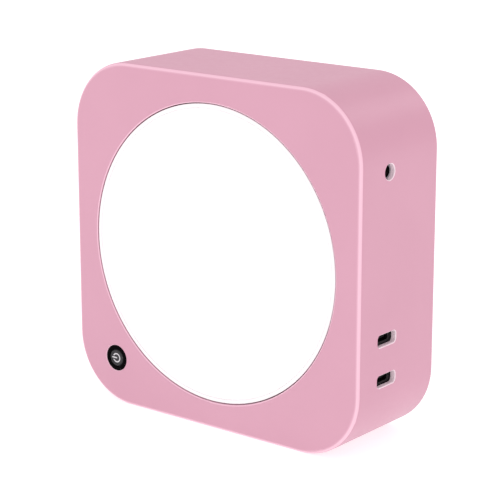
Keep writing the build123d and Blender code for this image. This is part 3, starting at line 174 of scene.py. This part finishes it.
class Surface:
    """A node material with one shader and a few helpers for what feeds it."""

    def __init__(self, name):
        self.material = bpy.data.materials.new(name)
        self.material.use_nodes = True
        self.tree = self.material.node_tree
        self.shader = self.tree.nodes["Principled BSDF"]
        coordinates = self.tree.nodes.new("ShaderNodeTexCoord")
        self.place = coordinates.outputs["Object"]
        self.normal = coordinates.outputs["Normal"]

    def put(self, **values):
        """Constants straight on the shader's sockets."""
        for name, value in values.items():
            self.shader.inputs[name.replace("_", " ")].default_value = value

    def link(self, source, target):
        """Joins an output to an input."""
        self.tree.links.new(source, target)

    # patterns
    def stretched(self, x, y, z):
        """Object coordinates scaled on each axis, for grain that runs one way."""
        mapping = self.tree.nodes.new("ShaderNodeMapping")
        mapping.inputs["Scale"].default_value = (x, y, z)
        self.link(self.place, mapping.inputs["Vector"])
        return mapping.outputs["Vector"]

    def noise(self, size_mm, detail, place=None):
        """Noise whose blotches are about this many millimetres across."""
        node = self.tree.nodes.new("ShaderNodeTexNoise")
        node.inputs["Scale"].default_value = 1.0 / (size_mm * MM)
        node.inputs["Detail"].default_value = detail
        self.link(place or self.place, node.inputs["Vector"])
        return node.outputs["Fac"]

    def cells(self, size_mm, feature="F1"):
        """Cell pattern whose cells are about this many millimetres across."""
        node = self.tree.nodes.new("ShaderNodeTexVoronoi")
        node.feature = feature
        node.inputs["Scale"].default_value = 1.0 / (size_mm * MM)
        self.link(self.place, node.inputs["Vector"])
        return node.outputs["Distance"]

    def waves(self, size_mm, direction):
        """Parallel bands this many millimetres apart."""
        node = self.tree.nodes.new("ShaderNodeTexWave")
        node.bands_direction = direction
        node.inputs["Scale"].default_value = WAVE_LENGTH / (size_mm * MM)
        self.link(self.place, node.inputs["Vector"])
        return node.outputs["Fac"]

    # factors from 0 to 1
    def axis(self, source, name):
        """One axis of a vector."""
        node = self.tree.nodes.new("ShaderNodeSeparateXYZ")
        self.link(source, node.inputs["Vector"])
        return node.outputs[name]

    def tilt(self, name):
        """How far the surface faces along an axis, either way."""
        node = self.tree.nodes.new("ShaderNodeMath")
        node.operation = "ABSOLUTE"
        self.link(self.axis(self.normal, name), node.inputs[0])
        return node.outputs["Value"]

    def both(self, first, second):
        """Product of two factors."""
        node = self.tree.nodes.new("ShaderNodeMath")
        node.operation = "MULTIPLY"
        self.link(first, node.inputs[0])
        self.link(second, node.inputs[1])
        return node.outputs["Value"]

    def step(self, value, start, end):
        """0 at start and 1 at end, clamped outside them."""
        node = self.tree.nodes.new("ShaderNodeMapRange")
        node.inputs["From Min"].default_value = start
        node.inputs["From Max"].default_value = end
        self.link(value, node.inputs["Value"])
        return node.outputs["Result"]

    def between(self, value, low, high, soft):
        """1 where the value lies between low and high, fading to 0 over the soft width."""
        rise = self.step(value, low - soft, low)
        fall = self.step(value, high + soft, high)
        return self.both(rise, fall)

    def painted_edge_highlight(self):
        """Mask of the painted highlight: 1 on the roundings and chamfers at the front, 0 on the flat
        faces.
        """
        sloped = self.between(self.tilt("Y"), 0.45, 0.86, soft=0.14)
        front = self.step(self.axis(self.place, "Y"), FRONT_Y + 2.5 * MM, FRONT_Y + 2.0 * MM)
        return self.both(sloped, front)

    def near_sockets(self):
        """1 in the part of the right wall that holds the sockets."""
        depth = self.between(self.axis(self.place, "Y"), SOCKET_FRONT, SOCKET_BACK, MM)
        height = self.between(self.axis(self.place, "Z"), SOCKET_LOW, SOCKET_TOP, MM)
        return self.both(depth, height)

    def painted_socket_light(self):
        """Mask of the painted light: 1 on the walls and chamfers of the cut-outs in the right wall, which
        are painted paler as if lit.
        """
        sideways = self.between(self.tilt("X"), -0.1, 0.85, soft=0.08)
        outer = self.step(self.axis(self.place, "X"), SOCKET_X - MM, SOCKET_X)
        return self.both(self.both(sideways, self.near_sockets()), outer)

    # what feeds the shader
    def colours(self, factor, dark, light, low=NOISE_LOW, high=NOISE_HIGH):
        """Base colour between two colours as the factor goes from low to high."""
        ramp = self.tree.nodes.new("ShaderNodeValToRGB")
        ramp.color_ramp.elements[0].position = low
        ramp.color_ramp.elements[0].color = dark
        ramp.color_ramp.elements[1].position = high
        ramp.color_ramp.elements[1].color = light
        self.link(factor, ramp.inputs["Fac"])
        self.link(ramp.outputs["Color"], self.shader.inputs["Base Color"])

    def paler(self, factor, light):
        """Mixes the base colour towards a lighter one by a factor."""
        socket = self.shader.inputs["Base Color"]
        node = self.tree.nodes.new("ShaderNodeMix")
        node.data_type = "RGBA"
        self.link(factor, node.inputs["Factor"])
        self.link(socket.links[0].from_socket, node.inputs["A"])
        node.inputs["B"].default_value = light
        self.link(node.outputs["Result"], socket)

    def roughness(self, factor, low, high):
        """Roughness between two values as a noise factor goes from low to high."""
        node = self.tree.nodes.new("ShaderNodeMapRange")
        node.inputs["From Min"].default_value = NOISE_LOW
        node.inputs["From Max"].default_value = NOISE_HIGH
        node.inputs["To Min"].default_value = low
        node.inputs["To Max"].default_value = high
        self.link(factor, node.inputs["Value"])
        self.link(node.outputs["Result"], self.shader.inputs["Roughness"])

    def bump(self, height, depth_mm, strength):
        """Relief from a height pattern, this many millimetres deep, on top of any relief before it."""
        node = self.tree.nodes.new("ShaderNodeBump")
        node.inputs["Strength"].default_value = strength
        node.inputs["Distance"].default_value = depth_mm * MM
        self.link(height, node.inputs["Height"])
        before = self.shader.inputs["Normal"]
        if before.is_linked:
            self.link(before.links[0].from_socket, node.inputs["Normal"])
        self.link(node.outputs["Normal"], before)


def pink_plastic():
    """Satin moulded plastic with a very fine even texture, and painted highlights: paler on its rounded
    front edges and on the walls of the socket cut-outs.
    """
    surface = Surface("pink_plastic")
    surface.colours(surface.noise(45, 2), colour(204, 155, 173), colour(207, 158, 176))
    # painted highlight: the rounded front edges are painted paler, as if they caught the light
    surface.paler(surface.painted_edge_highlight(), colour(236, 196, 211))
    # painted light: the walls of the socket cut-outs are painted almost white, as if lit, though they are
    # the same pink moulding in shade
    surface.paler(surface.painted_socket_light(), colour(244, 228, 234))
    surface.roughness(surface.noise(3, 3), 0.36, 0.42)
    surface.bump(surface.noise(0.35, 2), 0.010, 0.5)
    surface.put(Specular_IOR_Level=0.35)
    return surface.material


def moulded(name, dark, light, rough, grain=0.4, depth=0.01, gloss=0.4):
    """Plain moulded plastic in two close tones, with grain and its depth in millimetres."""
    surface = Surface(name)
    surface.put(Specular_IOR_Level=gloss)
    surface.colours(surface.noise(8, 3), dark, light)
    surface.roughness(surface.noise(2, 3), rough - 0.04, rough + 0.05)
    surface.bump(surface.noise(grain, 2), depth, 0.5)
    return surface.material


def glossy(name, dark, light, rough, gloss=0.5):
    """Polished moulded plastic."""
    surface = Surface(name)
    surface.colours(surface.noise(4, 2), dark, light)
    surface.roughness(surface.noise(1.5, 2), rough, rough + 0.05)
    surface.put(Specular_IOR_Level=gloss)
    surface.bump(surface.noise(6, 1), 0.006, 0.3)
    return surface.material


def rubber(name):
    """Dull black rubber."""
    surface = Surface(name)
    surface.colours(surface.noise(1.2, 4), colour(26, 26, 27), colour(38, 38, 39))
    surface.roughness(surface.noise(0.8, 3), 0.72, 0.86)
    surface.bump(surface.noise(0.3, 3), 0.02, 0.6)
    return surface.material


def metal(name, dark, light, rough, along=(1, 1, 1), grain=0.3):
    """Metal with fine drawn or plated grain; the grain is long where along is small."""
    surface = Surface(name)
    run = surface.stretched(*along)
    surface.colours(surface.noise(grain * 4, 3, run), dark, light)
    surface.roughness(surface.noise(grain * 2, 3, run), rough - 0.06, rough + 0.08)
    surface.bump(surface.noise(grain, 2, run), 0.006, 0.5)
    surface.put(Metallic=1.0)
    return surface.material


def filter_cloth():
    """White non-woven cloth: a mat of fibres with small pressed dimples."""
    surface = Surface("filter_cloth")
    fibres = surface.noise(0.5, 5)
    surface.colours(fibres, colour(244, 244, 244), colour(253, 253, 253))
    surface.roughness(surface.noise(1, 2), 0.85, 0.95)
    surface.bump(surface.cells(1.6), 0.05, 0.35)
    surface.bump(fibres, 0.03, 0.5)
    surface.put(Sheen_Weight=0.15, Sheen_Roughness=0.6, Specular_IOR_Level=0.2)
    return surface.material


def filter_paper():
    """Soft off-white pleated paper with faint fibres."""
    surface = Surface("filter_paper")
    surface.colours(surface.noise(0.7, 5), colour(226, 224, 214), colour(240, 238, 230))
    surface.roughness(surface.noise(1, 2), 0.86, 0.95)
    surface.bump(surface.noise(0.25, 5), 0.03, 0.7)
    return surface.material


def windings():
    """Enamelled copper wire laid side by side."""
    surface = Surface("winding_copper")
    turns = surface.waves(0.35, "Y")
    surface.colours(turns, colour(120, 62, 30), colour(205, 120, 66), 0.1, 0.9)
    surface.roughness(surface.noise(1, 2), 0.28, 0.4)
    surface.bump(turns, 0.08, 1.0)
    surface.put(Metallic=0.9)
    return surface.material


def circuit_board():
    """Green solder mask over faint tracks."""
    surface = Surface("board_green")
    tracks = surface.cells(2.4, "DISTANCE_TO_EDGE")
    surface.colours(tracks, colour(30, 104, 62), colour(14, 74, 44), 0.03, 0.09)
    surface.roughness(surface.noise(2, 2), 0.25, 0.38)
    surface.bump(tracks, 0.03, 0.6)
    surface.put(Coat_Weight=0.3)
    return surface.material


MATERIALS = {
    "pink_plastic": pink_plastic(),
    "white_plastic": moulded("white_plastic", colour(240, 240, 240), colour(248, 248, 248), 0.5),
    "filter_cloth": filter_cloth(),
    "filter_paper": filter_paper(),
    "black_plastic": moulded("black_plastic", colour(14, 14, 15), colour(22, 22, 23), 0.5, gloss=0.2),
    "black_rubber": rubber("black_rubber"),
    "gloss_black": glossy("gloss_black", colour(3, 2, 3), colour(6, 4, 5), 0.07, gloss=0.02),
    "gloss_grey": glossy("gloss_grey", colour(40, 41, 43), colour(46, 47, 49), 0.14, gloss=0.25),
    "icon_white": glossy("icon_white", colour(196, 198, 200), colour(206, 208, 210), 0.3),
    "label_film": moulded("label_film", colour(208, 208, 210), colour(212, 212, 214), 0.35, grain=0.8),
    "screw_steel": metal("screw_steel", colour(150, 150, 155), colour(186, 186, 190), 0.32),
    "magnet_metal": metal("magnet_metal", colour(190, 188, 184), colour(214, 212, 208), 0.18),
    "ferrite": moulded("ferrite", colour(40, 40, 43), colour(54, 54, 57), 0.6, grain=0.2, depth=0.02),
    "core_steel": metal("core_steel", colour(40, 42, 43), colour(56, 58, 58), 0.5, along=(1, 6, 1)),
    "winding_copper": windings(),
    "contact_brass": metal("contact_brass", colour(196, 158, 84), colour(222, 186, 110), 0.25),
    "base_aluminium": metal("base_aluminium", colour(176, 177, 180), colour(200, 201, 204), 0.42),
    "board_green": circuit_board(),
}


def finish_cad_nodes():
    """Gives every carried-over CAD node the procedural material of its slot."""
    for entry in frame["record"]["subparts"]:
        mesh = NODES[entry["node"]].data
        mesh.materials.clear()
        mesh.materials.append(MATERIALS[entry["material_slot"]])


# ---------------------------------------------------------------- modelled pieces
def new_piece(name, shape, material_slot, body):
    """Makes a smooth piece from a finished bmesh, with the material of its slot, on its body."""
    bmesh.ops.recalc_face_normals(shape, faces=shape.faces)
    mesh = bpy.data.meshes.new(name)
    shape.to_mesh(mesh)
    shape.free()
    for polygon in mesh.polygons:
        polygon.use_smooth = True
    mesh.materials.append(MATERIALS[material_slot])
    piece = bpy.data.objects.new(name, mesh)
    bpy.context.scene.collection.objects.link(piece)
    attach(piece, body)
    return piece


def join_rows(shape, row, after):
    """Faces between two closed rows that have as many points as each other."""
    for index in range(len(row)):
        other = (index + 1) % len(row)
        shape.faces.new((row[index], row[other], after[other], after[index]))


def turned(shape, centre, along, profile, steps):
    """Closed ring turned about a level axis from its (radius, distance along the axis) profile."""
    up = Vector((0, 0, 1))
    side = along.cross(up)
    rows = []
    for step in range(steps):
        angle = 2 * math.pi * step / steps
        out = side * math.cos(angle) + up * math.sin(angle)
        row = [shape.verts.new(centre + out * radius + along * reach) for radius, reach in profile]
        rows.append(row)
    for row, after in zip(rows, rows[1:] + rows[:1]):
        join_rows(shape, row, after)


def make_cap_ring():
    """Raised polished ring round the power mark, on the button's cap."""
    middle_r = 3.25 * MM
    half_w = 0.42 * MM
    rise = 0.14 * MM
    sunk = 0.05 * MM
    arc_steps = 8
    centre = Vector((BUTTON.x, BUTTON_LOW.y, BUTTON.z))
    profile = []
    for step in range(arc_steps + 1):
        angle = math.pi * step / arc_steps
        profile.append((middle_r + half_w * math.cos(angle), -rise * math.sin(angle)))
    profile.append((middle_r - half_w, sunk))
    profile.append((middle_r + half_w, sunk))
    shape = bmesh.new()
    turned(shape, centre, Vector((0, 1, 0)), profile, steps=96)
    new_piece("cap_ring", shape, "gloss_grey", "button")


def make_jack_ring():
    """Plated ring pressed on the front of the barrel jack's nose."""
    centre = Vector((JACK_HIGH.x, PIN.y, PIN.z))
    proud = 0.15 * MM
    edge = 0.06 * MM
    profile = [
        (JACK_BORE_R, -proud),
        (JACK_BORE_R, proud - edge),
        (JACK_BORE_R + edge, proud),
        (JACK_NOSE_R - edge, proud),
        (JACK_NOSE_R, proud - edge),
        (JACK_NOSE_R, -proud),
    ]
    shape = bmesh.new()
    turned(shape, centre, Vector((1, 0, 0)), profile, steps=72)
    new_piece("jack_ring", shape, "screw_steel", "casing")


def add_pad(shape, front, centre_y, face_z, lift):
    """One contact pad on a face, with its front corners cut off."""
    width = 0.26 * MM
    length = 3.4 * MM
    outline = [
        (front - length, centre_y - width / 2),
        (front - width / 2, centre_y - width / 2),
        (front, centre_y - width / 4),
        (front, centre_y + width / 4),
        (front - width / 2, centre_y + width / 2),
        (front - length, centre_y + width / 2),
    ]
    under = [shape.verts.new((x, y, face_z)) for x, y in outline]
    over = [shape.verts.new((x, y, face_z + lift)) for x, y in outline]
    shape.faces.new(under)
    shape.faces.new(over)
    join_rows(shape, under, over)


def make_usb_contacts():
    """Rows of plated contact pads on both sides of the USB tongues."""
    pads = 12
    pitch = 0.5 * MM
    lift = 0.03 * MM
    setback = 0.35 * MM
    low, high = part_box("usb_tongues")
    middle_y = (low.y + high.y) / 2
    port_half = (USB_HIGH.z - USB_LOW.z - PORT_PITCH) / 2
    shape = bmesh.new()
    for port_z in (USB_LOW.z + port_half, USB_HIGH.z - port_half):
        for side in (-1, 1):
            face_z = port_z + side * TONGUE_T / 2
            for pad in range(pads):
                centre_y = middle_y + (pad - (pads - 1) / 2) * pitch
                add_pad(shape, high.x - setback, centre_y, face_z, side * lift)
    new_piece("usb_contacts", shape, "contact_brass", "casing")


def cloth_rise(x, z, radius, reach):
    """How far the filter's cloth stands forward: dimpled inside, and curved down to its rim."""
    dome = 0.10 * MM
    rim_w = 2.2 * MM
    dimple_pitch = 3.1 * MM
    dimple_depth = 0.07 * MM
    if radius > reach - rim_w:
        return dome * math.cos(math.pi * (radius - reach + rim_w) / rim_w / 2)
    press = math.sin(math.pi * x / dimple_pitch) * math.sin(math.pi * z / dimple_pitch)
    return dome - dimple_depth * press ** 4


def make_face_cloth():
    """White non-woven face of the filter: a taut disc with pressed dimples and a welded rim."""
    centre = (FACE_LOW + FACE_HIGH) / 2
    reach = (FACE_HIGH.x - FACE_LOW.x) / 2
    rim_y = FACE_LOW.y + 0.06 * MM
    hub_y = FACE_LOW.y - 0.06 * MM
    rings = 84
    steps = 240
    shape = bmesh.new()
    hub = shape.verts.new((centre.x, hub_y, centre.z))
    rows = []
    for ring in range(1, rings + 1):
        radius = reach * ring / rings
        row = []
        for step in range(steps):
            angle = 2 * math.pi * step / steps
            x = radius * math.cos(angle)
            z = radius * math.sin(angle)
            y = rim_y - cloth_rise(x, z, radius, reach)
            row.append(shape.verts.new((centre.x + x, y, centre.z + z)))
        rows.append(row)
    for index in range(steps):
        shape.faces.new((hub, rows[0][index], rows[0][(index + 1) % steps]))
    for row, after in zip(rows, rows[1:]):
        join_rows(shape, row, after)
    cloth = new_piece("face_cloth", shape, "filter_cloth", "filter")
    thick = cloth.modifiers.new("cloth_thickness", "SOLIDIFY")
    thick.thickness = 0.5 * MM
    thick.offset = -1.0 if cloth.data.polygons[0].normal.y < 0 else 1.0
    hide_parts("filter_face")


bpy.context.scene.view_settings.view_transform = "Standard"
make_camera()
make_world()
make_lights()
make_floor()
finish_cad_nodes()
make_face_cloth()
make_cap_ring()
make_jack_ring()
make_usb_contacts()
